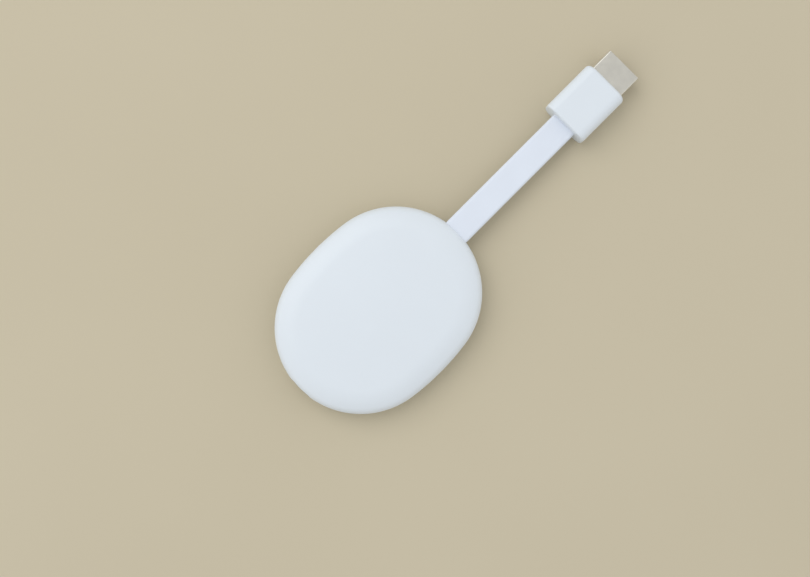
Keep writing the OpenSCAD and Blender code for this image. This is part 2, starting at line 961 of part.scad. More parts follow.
module plug_housing() {
  color(white)
    at_plug()
      difference() {
        housing_solid();
        bar_x(plug_wall, plug_wall + cavity_l, 0, cavity_w, cavity_t, cavity_corner_r);
        bar_x(-over, plug_wall + over, 0, ribbon_w + 2 * pass_gap, ribbon_t + 2 * pass_gap,
          ribbon_t / 4);
        shell_prism(plug_l - plug_wall - over, plug_l + over, -snug);
      }
}

module plug_inner_mould() {
  color(black)
    at_plug()
      difference() {
        bar_x(plug_wall + snug, plug_wall + cavity_l - snug, 0, cavity_w - 2 * snug,
          cavity_t - 2 * snug, cavity_corner_r - snug);
        bar_x(0, ribbon_in_plug + snug, 0, ribbon_w + 2 * snug, ribbon_t + 2 * snug,
          ribbon_t / 4);
        block_x(ribbon_in_plug, -ribbon_t / 2, shell_x - ribbon_in_plug, plug_board_w + 2 * snug,
          ribbon_t);
        shell_prism(shell_x - snug, plug_l, -snug);
      }
}

module plug_board() {
  color(board_green)
    at_plug()
      block_x(plug_board_x, -plug_board_t / 2, plug_board_l, plug_board_w, plug_board_t);
}

module plug_conductors() {
  color(copper)
    at_plug()
      for (y = spread(conductor_count, conductor_pitch), k = [-1, 1])
        translate([ribbon_in_plug, y, k * (plug_board_t / 2 + conductor_r + snug / 2)])
          rotate([0, 90, 0]) cylinder(r = conductor_r, h = plug_conductor_l);
}

module plug_shell() {
  tip_x = shell_x + shell_l;
  color(nickel)
    at_plug()
      difference() {
        shell_prism(shell_x, tip_x, 0);
        shell_prism(shell_x - over, tip_x + over, shell_sheet);
        for (y = [-window_y, window_y])
          translate([tip_x - window_x, y, -shell_h / 2])
            cube([window_l, window_w, shell_h / 2], center = true);
      }
}

module plug_insulator() {
  back_x = shell_x + insulator_in;
  tip_x = shell_x + shell_l - insulator_in;
  color(black)
    at_plug()
      difference() {
        shell_prism(back_x, tip_x, shell_sheet + snug);
        block_x(tip_x - slot_l, -slot_h / 2, slot_l + over, slot_w, slot_h);
        for (z = [slot_h / 2 - slit_h + snug, -slot_h / 2 - snug])
          block_x(back_x - over, z, tip_x - slot_l - back_x + 2 * over, slit_w, slit_h);
      }
}

// Side view of a contact of the upper row: soldered foot, rise, long spring and hooked tip
module contact_side() {
  foot_z = plug_board_t / 2;
  run_z = slot_h / 2 - contact_t;
  tip_x = shell_x + shell_l - insulator_in - contact_tip;
  bend_x = contact_x + contact_foot;
  polygon([
    [contact_x, foot_z], [bend_x, foot_z], [bend_x + contact_rise, run_z], [tip_x, run_z],
    [tip_x, run_z + contact_t], [bend_x + contact_rise - contact_t / 2, run_z + contact_t],
    [bend_x - contact_t / 2, foot_z + contact_t], [contact_x, foot_z + contact_t]
  ]);
}

module contact_row(n) {
  for (y = spread(n, contact_pitch))
    translate([0, y + contact_w / 2, 0])
      rotate([90, 0, 0]) linear_extrude(contact_w) contact_side();
}

module plug_contacts() {
  color(gold)
    at_plug() {
      contact_row(upper_contacts);
      mirror([0, 0, 1]) contact_row(lower_contacts);
    }
}

top_shell();
bottom_shell();
upper_heat_spreader();
upper_thermal_pad();
upper_shield_can();
processor();
processor_pad();
memory_chips();
main_board();
wireless_module();
antennas();
inductors();
capacitors();
crystal();
board_screws();
lower_shield_can();
flash_chip();
power_chip();
lower_thermal_pad();
lower_heat_spreader();
port_shell();
port_insert();
port_contacts();
switch_body();
switch_dome();
switch_plunger();
reset_button();
status_led();
light_guide();
cable_anchor();
board_conductors();
ribbon_cable();
plug_housing();
plug_inner_mould();
plug_board();
plug_conductors();
plug_shell();
plug_insulator();
plug_contacts();
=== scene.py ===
import json
import math

import bmesh
import bpy
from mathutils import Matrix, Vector


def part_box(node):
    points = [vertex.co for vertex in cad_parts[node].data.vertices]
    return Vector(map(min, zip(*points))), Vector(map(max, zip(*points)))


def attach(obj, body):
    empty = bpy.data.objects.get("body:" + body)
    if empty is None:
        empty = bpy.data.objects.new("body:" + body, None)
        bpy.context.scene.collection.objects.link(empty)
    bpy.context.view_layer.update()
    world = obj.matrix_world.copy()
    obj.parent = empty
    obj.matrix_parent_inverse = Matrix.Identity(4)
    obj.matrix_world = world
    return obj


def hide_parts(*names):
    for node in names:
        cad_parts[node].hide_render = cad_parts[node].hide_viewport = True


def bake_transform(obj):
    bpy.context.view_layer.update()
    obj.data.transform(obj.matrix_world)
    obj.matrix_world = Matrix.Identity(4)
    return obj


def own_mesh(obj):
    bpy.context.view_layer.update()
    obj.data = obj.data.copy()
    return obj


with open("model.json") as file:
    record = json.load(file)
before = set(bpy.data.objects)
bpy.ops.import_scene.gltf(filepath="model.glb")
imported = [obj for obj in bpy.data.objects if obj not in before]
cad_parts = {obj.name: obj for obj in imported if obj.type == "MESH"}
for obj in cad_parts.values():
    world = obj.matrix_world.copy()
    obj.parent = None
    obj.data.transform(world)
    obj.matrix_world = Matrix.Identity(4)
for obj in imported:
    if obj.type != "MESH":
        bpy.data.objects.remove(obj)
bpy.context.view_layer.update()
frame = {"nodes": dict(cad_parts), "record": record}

# Lengths are in millimetres, and MM turns them into metres
MM = 0.001
scene = bpy.context.scene
scene.view_settings.view_transform = "Standard"

# Camera: straight down on the table, turned so that the cable runs up and to the right
CABLE_ANGLE = math.radians(45)
NADIR_X, NADIR_Y = 11.87, -1.20
CAMERA_HEIGHT = 400
NEAREST_SEEN = 10
LENS, SENSOR_W = 50.36, 36

camera_data = bpy.data.cameras.new("camera")
camera_data.sensor_width = SENSOR_W
camera_data.lens = LENS
camera_data.clip_start = NEAREST_SEEN * MM
camera = bpy.data.objects.new("camera", camera_data)
camera.location = (NADIR_X * MM, NADIR_Y * MM, CAMERA_HEIGHT * MM)
camera.rotation_euler = (0, 0, -CABLE_ANGLE)
scene.collection.objects.link(camera)
scene.camera = camera


# Shader nodes

# The range that a noise texture's values mostly keep to
NOISE_LOW, NOISE_HIGH = 0.3, 0.7


def shader(name):
    """A material with nothing but a principled shader."""
    material = bpy.data.materials.new(name)
    material.use_nodes = True
    tree = material.node_tree
    tree.nodes.clear()
    out = tree.nodes.new("ShaderNodeOutputMaterial")
    bsdf = tree.nodes.new("ShaderNodeBsdfPrincipled")
    tree.links.new(bsdf.outputs["BSDF"], out.inputs["Surface"])
    return material, tree, bsdf


def noise(tree, scale, detail, stretch=None):
    """Noise in the object's own space, with its coordinates scaled by stretch."""
    source = tree.nodes.new("ShaderNodeTexCoord").outputs["Object"]
    if stretch:
        mapping = tree.nodes.new("ShaderNodeMapping")
        mapping.inputs["Scale"].default_value = stretch
        tree.links.new(source, mapping.inputs["Vector"])
        source = mapping.outputs["Vector"]
    texture = tree.nodes.new("ShaderNodeTexNoise")
    texture.inputs["Scale"].default_value = scale
    texture.inputs["Detail"].default_value = detail
    tree.links.new(source, texture.inputs["Vector"])
    return texture.outputs["Fac"]


def spread_to(tree, value, low, high):
    """A noise's value, spread over the range from low to high."""
    spread = tree.nodes.new("ShaderNodeMapRange")
    spread.inputs["From Min"].default_value = NOISE_LOW
    spread.inputs["From Max"].default_value = NOISE_HIGH
    spread.inputs["To Min"].default_value = low
    spread.inputs["To Max"].default_value = high
    tree.links.new(value, spread.inputs["Value"])
    return spread.outputs["Result"]


def two_tone(tree, value, a, b):
    """The colour between a and b that value picks."""
    mix = tree.nodes.new("ShaderNodeMix")
    mix.data_type = "RGBA"
    mix.inputs["A"].default_value = (*a, 1)
    mix.inputs["B"].default_value = (*b, 1)
    tree.links.new(value, mix.inputs["Factor"])
    return mix.outputs["Result"]


def add_relief(tree, bsdf, height, strength, depth):
    """Relief of the given depth on the shader's surface."""
    bump = tree.nodes.new("ShaderNodeBump")
    bump.inputs["Strength"].default_value = strength
    bump.inputs["Distance"].default_value = depth * MM
    tree.links.new(height, bump.inputs["Height"])
    tree.links.new(bump.outputs["Normal"], bsdf.inputs["Normal"])


def finish_surface(name, colour, rough, vary=0.02, tone_scale=90, grain_scale=2600, grain=0.15,
                   depth=0.01, metallic=0, stretch=None, sheen=0, transmission=0):
    """A surface with a slow change of tone, and a fine grain in its gloss and its relief."""
    material, tree, bsdf = shader(name)
    slow = spread_to(tree, noise(tree, tone_scale, 3), 0, 1)
    dark = tuple(c * (1 - vary) for c in colour)
    light = tuple(c * (1 + vary) for c in colour)
    tree.links.new(two_tone(tree, slow, dark, light), bsdf.inputs["Base Color"])
    fine = noise(tree, grain_scale, 5, stretch)
    tree.links.new(spread_to(tree, fine, rough * (1 - grain), rough * (1 + grain)),
                   bsdf.inputs["Roughness"])
    add_relief(tree, bsdf, fine, strength=0.6, depth=depth)
    bsdf.inputs["Metallic"].default_value = metallic
    bsdf.inputs["Sheen Weight"].default_value = sheen
    bsdf.inputs["Transmission Weight"].default_value = transmission
    return material


def board_surface(name):
    """Solder resist with fine traces showing through as a lighter green."""
    material, tree, bsdf = shader(name)
    place = tree.nodes.new("ShaderNodeTexCoord")
    traces = tree.nodes.new("ShaderNodeTexBrick")
    traces.inputs["Scale"].default_value = 420
    traces.inputs["Mortar Size"].default_value = 0.06
    traces.inputs["Color1"].default_value = (0.012, 0.10, 0.045, 1)
    traces.inputs["Color2"].default_value = (0.016, 0.12, 0.055, 1)
    traces.inputs["Mortar"].default_value = (0.03, 0.19, 0.09, 1)
    tree.links.new(place.outputs["Object"], traces.inputs["Vector"])
    tree.links.new(traces.outputs["Color"], bsdf.inputs["Base Color"])
    tree.links.new(spread_to(tree, noise(tree, 1800, 4), 0.22, 0.32), bsdf.inputs["Roughness"])
    add_relief(tree, bsdf, traces.outputs["Fac"], strength=0.4, depth=0.03)
    return material


def table_surface(name):
    """A plain warm table top with a slow change of tone."""
    material, tree, bsdf = shader(name)
    slow = spread_to(tree, noise(tree, 6, 3), 0, 1)
    tree.links.new(two_tone(tree, slow, (0.573, 0.507, 0.37), (0.593, 0.527, 0.388)),
                   bsdf.inputs["Base Color"])
    tree.links.new(spread_to(tree, noise(tree, 900, 4), 0.62, 0.72), bsdf.inputs["Roughness"])
    bsdf.inputs["Specular IOR Level"].default_value = 0.2
    return material


FINISHES = {
    "white_plastic": dict(colour=(0.75, 0.803, 0.852), rough=0.42, vary=0.006, tone_scale=60,
                          grain_scale=4200, depth=0.04),
    "cable_jacket": dict(colour=(0.752, 0.803, 0.888), rough=0.55, vary=0.01, tone_scale=120,
                         grain_scale=2800, grain=0.12, depth=0.04, sheen=0.1),
    "satin_nickel": dict(colour=(0.676, 0.651, 0.583), rough=0.4, vary=0.05, tone_scale=260,
                         grain_scale=900, grain=0.25, depth=0.004, metallic=1, stretch=(1, 14, 14)),
    "spreader_metal": dict(colour=(0.62, 0.63, 0.64), rough=0.38, vary=0.04, grain_scale=800,
                           grain=0.25, metallic=1, stretch=(12, 1, 12)),
    "screw_steel": dict(colour=(0.5, 0.5, 0.51), rough=0.3, vary=0.05, grain_scale=2400, grain=0.3,
                        metallic=1),
    "thermal_pad": dict(colour=(0.27, 0.33, 0.39), rough=0.75, vary=0.06, grain_scale=1800,
                        grain=0.1, depth=0.04),
    "chip_black": dict(colour=(0.014, 0.014, 0.016), rough=0.5, vary=0.2, grain_scale=3600,
                       grain=0.25),
    "insulator_black": dict(colour=(0.011, 0.011, 0.012), rough=0.38, vary=0.2, grain_scale=3000,
                            grain=0.2, depth=0.006),
    "contact_gold": dict(colour=(0.83, 0.6, 0.22), rough=0.28, vary=0.06, grain=0.25, metallic=1),
    "wire_copper": dict(colour=(0.66, 0.3, 0.16), rough=0.36, vary=0.08, grain=0.25, metallic=1),
    "capacitor_tan": dict(colour=(0.33, 0.2, 0.11), rough=0.5, vary=0.12, grain=0.2),
    "led_white": dict(colour=(0.78, 0.72, 0.42), rough=0.3, vary=0.05, grain=0.2),
    "light_guide_clear": dict(colour=(0.72, 0.76, 0.8), rough=0.3, grain_scale=2200, grain=0.2,
                              transmission=0.45),
}
SURFACES = {name: finish_surface(name, **values) for name, values in FINISHES.items()}
SURFACES["board_laminate"] = board_surface("board_laminate")


# Mesh helpers

# The angle in degrees over which an edge stays sharp
SHARP = 32


def smooth(obj):
    """Smooth shading between faces that meet under the angle SHARP, with large flat faces kept flat."""
    obj.data.shade_smooth()
    obj.data.set_sharp_from_angle(angle=math.radians(SHARP))
    obj.modifiers.new("flat_faces", "WEIGHTED_NORMAL").keep_sharp = True


def faces_between(count, n, closed):
    """Faces of a skin through a count of rings with n points each; its ends are capped if open."""
    faces = []
    for i in range(count if closed else count - 1):
        a, b = i * n, ((i + 1) % count) * n
        faces += [(a + j, a + (j + 1) % n, b + (j + 1) % n, b + j) for j in range(n)]
    if not closed:
        faces.append(tuple(range(n - 1, -1, -1)))
        faces.append(tuple((count - 1) * n + j for j in range(n)))
    return faces


def skin(name, rings, surface="white_plastic", closed=False):
    """An object through rings of equally many points, with its faces turned outwards."""
    mesh = bpy.data.meshes.new(name)
    points = [Vector(p) * MM for ring in rings for p in ring]
    mesh.from_pydata(points, [], faces_between(len(rings), len(rings[0]), closed))
    mesh.validate()
    bm = bmesh.new()
    bm.from_mesh(mesh)
    bmesh.ops.recalc_face_normals(bm, faces=bm.faces)
    bm.to_mesh(mesh)
    bm.free()
    obj = bpy.data.objects.new(name, mesh)
    scene.collection.objects.link(obj)
    obj.data.materials.append(SURFACES[surface])
    smooth(obj)
    return obj


def cut(obj, *cutters):
    """Takes the cutters out of obj for good."""
    for cutter in cutters:
        boolean = obj.modifiers.new("cut", "BOOLEAN")
        boolean.operation = "DIFFERENCE"
        boolean.solver = "EXACT"
        boolean.object = cutter
        bpy.context.view_layer.update()
        graph = bpy.context.evaluated_depsgraph_get()
        fresh = bpy.data.meshes.new_from_object(obj.evaluated_get(graph))
        obj.modifiers.clear()
        old = obj.data
        obj.data = fresh
        bpy.data.meshes.remove(old)
        bpy.data.objects.remove(cutter)
    smooth(obj)


def rounded(w, h, r, steps=8, side_parts=1):
    """Outline of a rounded rectangle, counter-clockwise from its right side.

    Each corner is an arc of so many steps, and each side between two corners has so many parts."""
    corners = []
    for side_x, side_y, start in ((1, 1, 0), (-1, 1, 90), (-1, -1, 180), (1, -1, 270)):
        for i in range(steps + 1):
            a = math.radians(start + 90 * i / steps)
            corners.append((side_x * (w / 2 - r) + r * math.cos(a),
                            side_y * (h / 2 - r) + r * math.sin(a)))
    outline = []
    for i, p in enumerate(corners):
        outline.append(p)
        if i % (steps + 1) == steps:
            q = corners[(i + 1) % len(corners)]
            outline += [tuple(a + (b - a) * part / side_parts for a, b in zip(p, q))
                        for part in range(1, side_parts)]
    return outline


def filleted(corners, r, steps):
    """Outline of a polygon with its corners rounded to the radius r."""
    outline = []
    for i, c in enumerate(corners):
        c = Vector(c)
        a = (Vector(corners[i - 1]) - c).normalized()
        b = (Vector(corners[(i + 1) % len(corners)]) - c).normalized()
        half = a.angle(b) / 2
        centre = c + (a + b).normalized() * (r / math.sin(half))
        p0 = c + a * (r / math.tan(half)) - centre
        p1 = c + b * (r / math.tan(half)) - centre
        turn = p0.angle(p1)
        for j in range(steps + 1):
            t = j / steps
            v = (p0 * math.sin((1 - t) * turn) + p1 * math.sin(t * turn)) / math.sin(turn)
            outline.append(tuple(centre + v))
    return outline


def along_x(outline, x, z):
    """An outline as a ring across the cable's direction, at x and about the height z."""
    return [(x, p[0], z + p[1]) for p in outline]


def turned(name, outline, x, y, surface="white_plastic", n=64):
    """Turns (radius, height) points about the vertical through (x, y)."""
    rings = [[(x + r * math.cos(2 * math.pi * i / n), y + r * math.sin(2 * math.pi * i / n), z)
              for i in range(n)] for r, z in outline]
    return skin(name, rings, surface)


def cutter_x(outline, x0, x1, z):
    """A straight cutter along the cable's direction."""
    return skin("cutter", [along_x(outline, x, z) for x in (x0, x1)])


def cutter_z(outline, x, y, z0, z1):
    """A straight upright cutter."""
    return skin("cutter", [[(x + p[0], y + p[1], z) for p in outline] for z in (z0, z1)])


def cutter_round(r, x, y, n):
    """A round upright cutter through the floor of the puck."""
    return turned("cutter", [(r, -OVERRUN), (r, FLOOR_CUT_TOP)], x, y, n=n)


def cable_slot(x0, x1, z):
    """A cutter for an opening that the cable goes through."""
    return cutter_x(rounded(RIBBON_W + 2 * PASS_GAP, RIBBON_T + 2 * PASS_GAP, SLOT_R), x0, x1, z)


def arc(centre, r, a0, a1, steps):
    """Points of an arc from the angle a0 to the angle a1."""
    return [(centre[0] + r * math.cos(a0 + (a1 - a0) * i / steps),
             centre[1] + r * math.sin(a0 + (a1 - a0) * i / steps)) for i in range(steps + 1)]


def crossing(p0, r0, p1, r1):
    """Where the circles about p0 and p1 cross, on the left of the way from p0 to p1."""
    v = p1 - p0
    d = v.length
    a = (r0 ** 2 - r1 ** 2 + d ** 2) / (2 * d)
    return p0 + v * (a / d) + Vector((-v.y, v.x)) * (math.sqrt(r0 ** 2 - a ** 2) / d)


# Sizes, as in the part

BODY_L, BODY_W, BODY_T, WALL = 77.2, 61.0, 12.5, 1.7
MID = BODY_T / 2
CROWN_R, SHOULDER_R, BELLY_R, RIM_R = 400.0, 14.0, 12.0, 4.4
BELLY_CUT = 0.02
LIP_T, LIP_H, LIP_GAP, LIP_END_GAP = 0.7, 1.6, 0.08, 0.1
RIBBON_W, RIBBON_T, RIBBON_L, RIBBON_FREE = 9.9, 3.0, 66.2, 52.5
PASS_GAP, SLIDE_GAP, SNUG = 0.1, 0.15, 0.05
PORT_W, PORT_H, PORT_SIDE_FLAT, PORT_GAP = 8.94, 3.26, 0.2, 0.25
BUTTON_R, BUTTON_RECESS, BUTTON_TRAVEL = 2.1, 0.3, 0.3
FLANGE_W, FLANGE_T, STEM_R = 0.8, 0.6, 1.2
LIGHT_R, GUIDE_OUT, COLLAR_W, COLLAR_T = 0.8, 0.15, 0.7, 0.6
DOME_R, DOME_T = 1.25, 0.08
PLUG_L, PLUG_W, PLUG_T = 20.6, 17.6, 11.0
PLUG_X, PLUG_Z = BODY_L / 2 + RIBBON_FREE, PLUG_T / 2
PLUG_CORNER_R, PLUG_BACK_R, PLUG_FRONT_R = 3.5, 0.7, 1.5
SHELL_W, SHELL_H, SHELL_SHEET, SHELL_CORNER_R = 13.9, 4.45, 0.35, 0.6
SHELL_SIDE_SHARE, SHELL_FOOT_SHARE = -0.1, 0.74
SHELL_IN, SHELL_OUT = 12.0, 8.8
SHELL_X, SHELL_TIP = PLUG_X + SHELL_IN, PLUG_X + PLUG_L + SHELL_OUT
# The shell's latch windows, with their places behind the tip and off the middle
LATCH_L, LATCH_W, LATCH_R, LATCH_X, LATCH_Y = 2.2, 1.8, 0.2, 4.2, 2.7

# The ends of the cutters: each starts outside what it opens, and stops inside
OVERRUN = 1
FLOOR_CUT_TOP = 3
SLOT_R, SLOT_CUT_START, PORT_CUT_START, RIM_CUT_END = 1.0, 30.0, 30.4, 45
PLUG_CUT_DEPTH = 1.6

# The flat cable

ROUTE = [(30.4, 0, 6.25), (33.2, 0, 6.25), (36, 0, 6.25), (39, 0, 6.25), (42, 0, 6.25), (48, 0, 6.21),
         (56, 0, 6.08), (65, 0, 5.88), (74, 0, 5.67), (82, 0, 5.54), (88, 0, 5.5), (90, 0, 5.5),
         (92, 0, 5.5), (94.3, 0, 5.5), (96.6, 0, 5.5)]
RIBBON_CORNER_R = 0.95
STATIONS = 66


def route_height(x):
    """The cable's height at x, by a smooth curve through the route's points."""
    for i in range(len(ROUTE) - 1):
        if x <= ROUTE[i + 1][0] or i == len(ROUTE) - 2:
            break
    p = [ROUTE[max(i - 1, 0)], ROUTE[i], ROUTE[i + 1], ROUTE[min(i + 2, len(ROUTE) - 1)]]
    step = p[2][0] - p[1][0]
    s1 = (p[2][2] - p[0][2]) / (p[2][0] - p[0][0]) * step
    s2 = (p[3][2] - p[1][2]) / (p[3][0] - p[1][0]) * step
    t = (x - p[1][0]) / step
    return ((2 * t ** 3 - 3 * t ** 2 + 1) * p[1][2] + (t ** 3 - 2 * t ** 2 + t) * s1
            + (-2 * t ** 3 + 3 * t ** 2) * p[2][2] + (t ** 3 - t ** 2) * s2)


section = rounded(RIBBON_W, RIBBON_T, RIBBON_CORNER_R, steps=7, side_parts=3)
stations = [ROUTE[0][0] + (ROUTE[-1][0] - ROUTE[0][0]) * i / STATIONS for i in range(STATIONS + 1)]
cable = skin("flat_cable", [along_x(section, x, route_height(x)) for x in stations], "cable_jacket")
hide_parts("ribbon_cable")

# The puck's casings: each is one closed section, swept round the oval

# The oval has round ends of END_R, and sides of SIDE_R whose centres lie SIDE_DROP past the middle
END_R = 29.9
END_X = BODY_L / 2 - END_R
SIDE_DROP = (END_X ** 2 - (BODY_W / 2 - END_R) ** 2) / (2 * (BODY_W / 2 - END_R))
SIDE_R = BODY_W / 2 + SIDE_DROP
TURN = math.atan2(END_X, SIDE_DROP)
END_STEPS, SIDE_STEPS = 96, 28
ANGLES = ([-math.pi / 2 + TURN + (math.pi - 2 * TURN) * i / END_STEPS for i in range(END_STEPS)]
          + [math.pi / 2 - TURN + 2 * TURN * i / SIDE_STEPS for i in range(SIDE_STEPS)])
ANGLES += [a + math.pi for a in ANGLES]
# So that a point between an end and a side counts as the side's
TINY = 1e-9

# Centres of the section's arcs, as (out from the middle, up from the seam's height)
RIM = Vector((BODY_W / 2 - RIM_R, 0.0))
CROWN = Vector((0.0, MID - CROWN_R))
SHOULDER = crossing(CROWN, CROWN_R - SHOULDER_R, RIM, SHOULDER_R - RIM_R)
BELLY_DROP = BELLY_R - MID - BELLY_CUT
BELLY = Vector((RIM.x - math.sqrt((BELLY_R - RIM_R) ** 2 - BELLY_DROP ** 2), -BELLY_DROP))
# Where the skins stop near the middle; a flat face closes what is left
MIDDLE_OUT = 1.1
OUTER_STEPS, INNER_STEPS = 22, 8
# Rings on the flat underside, counted from its edge, which keep the shading of that edge narrow
FLAT_RINGS = (0.3, 1.0, 3.0, 8.0)

# The seam: a hairline groove between two rounded edges, and the lip and channel behind it.
# The rim's arc stops at the height EDGE, and the edge then turns in to the height GROOVE.
EDGE, GROOVE = 0.14, 0.05
EDGE_ROUND = [(BODY_W / 2 - EDGE + out, GROOVE + up) for out, up in ((0.04, 0.03), (-0.06, 0))]
LIP_OUT = BODY_W / 2 - (WALL - LIP_T)
INNER_OUT = BODY_W / 2 - WALL
CHANNEL_H = LIP_H + LIP_END_GAP


def oval(out, z):
    """The puck's oval at the height z, with its sides so far out from the middle line."""
    inset = BODY_W / 2 - out
    ring = []
    for a in ANGLES:
        c, s = math.cos(a), math.sin(a)
        if abs(c) > math.sin(TURN) + TINY:
            ring.append((math.copysign(END_X, c) + (END_R - inset) * c, (END_R - inset) * s, z))
        else:
            ring.append(((SIDE_R - inset) * c,
                         -math.copysign(SIDE_DROP, s) + (SIDE_R - inset) * s, z))
    return ring


def upper_profile(inset, first, steps):
    """Section of the upper casing from the rim to the middle, as (out, height above the seam)."""
    a1 = math.atan2(RIM.y - SHOULDER.y, RIM.x - SHOULDER.x)
    a2 = math.atan2(SHOULDER.y - CROWN.y, SHOULDER.x - CROWN.x)
    a3 = math.acos(MIDDLE_OUT / (CROWN_R - inset))
    line = arc(RIM, RIM_R - inset, first, a1, steps)
    line += arc(SHOULDER, SHOULDER_R - inset, a1, a2, steps)[1:]
    return line + arc(CROWN, CROWN_R - inset, a2, a3, steps)[1:]


def lower_profile(inset, first, steps):
    """Section of the lower casing from the rim to the middle, as (out, depth under the seam)."""
    a1 = math.atan2(RIM.y - BELLY.y, RIM.x - BELLY.x)
    a2 = math.asin((MID - inset - BELLY.y) / (BELLY_R - inset))
    line = arc(RIM, RIM_R - inset, first, a1, steps)
    line += arc(BELLY, BELLY_R - inset, a1, a2, steps)[1:]
    flat_out = line[-1][0]
    return line + [(flat_out - x, MID - inset) for x in FLAT_RINGS] + [(MIDDLE_OUT, MID - inset)]


def port_mouth():
    """A cutter for the power port's opening in the rim."""
    corner_r = (PORT_H - PORT_SIDE_FLAT) / 2 + PORT_GAP
    return cutter_x(rounded(PORT_W + 2 * PORT_GAP, PORT_H + 2 * PORT_GAP, corner_r, steps=12),
                    -RIM_CUT_END, -PORT_CUT_START, MID)


def centre_of(node):
    """Where a CAD piece has its middle, seen from above."""
    low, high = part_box(node)
    return [(a + b) / 2 / MM for a, b in zip(low[:2], high[:2])]


button_x, button_y = centre_of("reset_button")
light_x, light_y = centre_of("light_guide")

upper_line = upper_profile(0, math.asin(EDGE / RIM_R), OUTER_STEPS)[::-1]
upper_line += EDGE_ROUND
upper_line += [(LIP_OUT, GROOVE), (LIP_OUT, -LIP_H), (INNER_OUT, -LIP_H)]
upper_line += upper_profile(WALL, 0, INNER_STEPS)
upper_casing = skin("upper_casing", [oval(out, MID + z) for out, z in upper_line])
cut(upper_casing, cable_slot(SLOT_CUT_START, RIM_CUT_END, MID), port_mouth())

lower_line = lower_profile(0, math.asin(EDGE / RIM_R), OUTER_STEPS)[::-1]
lower_line += EDGE_ROUND
lower_line += [(LIP_OUT + LIP_GAP, GROOVE), (LIP_OUT + LIP_GAP, CHANNEL_H), (INNER_OUT, CHANNEL_H)]
lower_line += lower_profile(WALL, math.asin(CHANNEL_H / (RIM_R - WALL)), INNER_STEPS)[1:]
lower_casing = skin("lower_casing", [oval(out, MID - z) for out, z in lower_line])
cut(lower_casing, cable_slot(SLOT_CUT_START, RIM_CUT_END, MID), port_mouth(),
    cutter_round(BUTTON_R + SLIDE_GAP, button_x, button_y, n=64),
    cutter_round(LIGHT_R + SNUG, light_x, light_y, n=40))
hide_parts("top_shell")
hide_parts("bottom_shell")

# The button in the underside, with a dished face, and a flange behind the floor

FLANGE_R, FLANGE_Z, STEM_TOP = BUTTON_R + FLANGE_W, WALL + SNUG, 3.1
# As (in from the side, deeper than the recess)
BUTTON_FACE = [(1.3, 0.07), (0.7, 0.05), (0.3, 0.01), (0.13, 0.01), (0.04, 0.05), (0, 0.14)]
button_line = [(BUTTON_R - side, BUTTON_RECESS + deep) for side, deep in BUTTON_FACE]
button_line += [(BUTTON_R, FLANGE_Z), (FLANGE_R, FLANGE_Z), (FLANGE_R, FLANGE_Z + FLANGE_T),
                (STEM_R, FLANGE_Z + FLANGE_T), (STEM_R, STEM_TOP)]
button = turned("button_cap", button_line, button_x, button_y)
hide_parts("reset_button")

# The light's window beside it, with a crowned face, and a collar behind the floor

COLLAR_R, GUIDE_TOP = LIGHT_R + COLLAR_W, 4.3
# As (in from the side, deeper than the face)
WINDOW_FACE = [(0.4, 0), (0.18, 0.01), (0.06, 0.06), (0, 0.17)]
window_line = [(LIGHT_R - side, GUIDE_OUT + deep) for side, deep in WINDOW_FACE]
window_line += [(LIGHT_R, WALL), (COLLAR_R, WALL), (COLLAR_R, WALL + COLLAR_T),
                (LIGHT_R, WALL + COLLAR_T), (LIGHT_R, GUIDE_TOP)]
window = turned("light_window", window_line, light_x, light_y, "light_guide_clear", n=40)
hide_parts("light_guide")

# The switch's dome, a thin cap of a ball that bulges down to the plunger

dome_x, dome_y = centre_of("switch_dome")
dome_apex, dome_rim = (corner[2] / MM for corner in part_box("switch_dome"))
dome_rise = dome_rim - dome_apex
ball_r = (DOME_R ** 2 + dome_rise ** 2) / (2 * dome_rise)
NEAR_AXIS_SHARE = 0.04


def dome_arc(r, steps=14):
    """Section of a ball of radius r about the dome's centre, from near its axis to the rim's height."""
    span = math.acos((ball_r - dome_rise) / r)
    angles = [span * (NEAR_AXIS_SHARE + (1 - NEAR_AXIS_SHARE) * i / steps) for i in range(steps + 1)]
    return [(r * math.sin(a), dome_apex + ball_r - r * math.cos(a)) for a in angles]


snap_dome = turned("snap_dome", dome_arc(ball_r) + dome_arc(ball_r - DOME_T)[::-1], dome_x, dome_y,
                   "screw_steel")
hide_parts("switch_dome")

# The plug: a box with a fillet at each end, and a metal shell with a rolled lip

PLUG_END = PLUG_X + PLUG_L
# Insets of the inner rings of the two end faces, which keep the shading of the fillets narrow
BACK_RING, FRONT_RING = 1.0, 1.8
SHELL_GAP = 0.08
# The lip, as (behind the tip, inset)
SHELL_LIP = [(0.16, 0), (0.06, 0.03), (0, 0.11), (0, 0.22), (0.05, 0.31), (0.14, SHELL_SHEET)]


def fillet_rings(x, side, r, steps):
    """(x, inset) of an end's fillet, from the end face out to the full size."""
    return [(x + side * r * (1 - math.cos(a)), r * (1 - math.sin(a)))
            for a in (math.pi / 2 * i / steps for i in range(steps + 1))]


def plug_outline(inset):
    """Outline of the plug's box."""
    return rounded(PLUG_W - 2 * inset, PLUG_T - 2 * inset, PLUG_CORNER_R - inset, steps=12,
                   side_parts=4)


def shell_outline(inset):
    """Outline of the plug's metal shell: square above, with both lower corners cut."""
    w, h = SHELL_W / 2, SHELL_H / 2
    side_z, foot_y = SHELL_SIDE_SHARE * h, SHELL_FOOT_SHARE * w
    outwards = Vector((h + side_z, foot_y - w)).normalized()
    reach = outwards.dot(Vector((w, side_z))) - inset
    corner_z = (reach - outwards.x * (w - inset)) / outwards.y
    corner_y = (reach + outwards.y * (h - inset)) / outwards.x
    corners = [(w - inset, h - inset), (-w + inset, h - inset), (-w + inset, corner_z),
               (-corner_y, -h + inset), (corner_y, -h + inset), (w - inset, corner_z)]
    return filleted(corners, SHELL_CORNER_R - inset, steps=6)


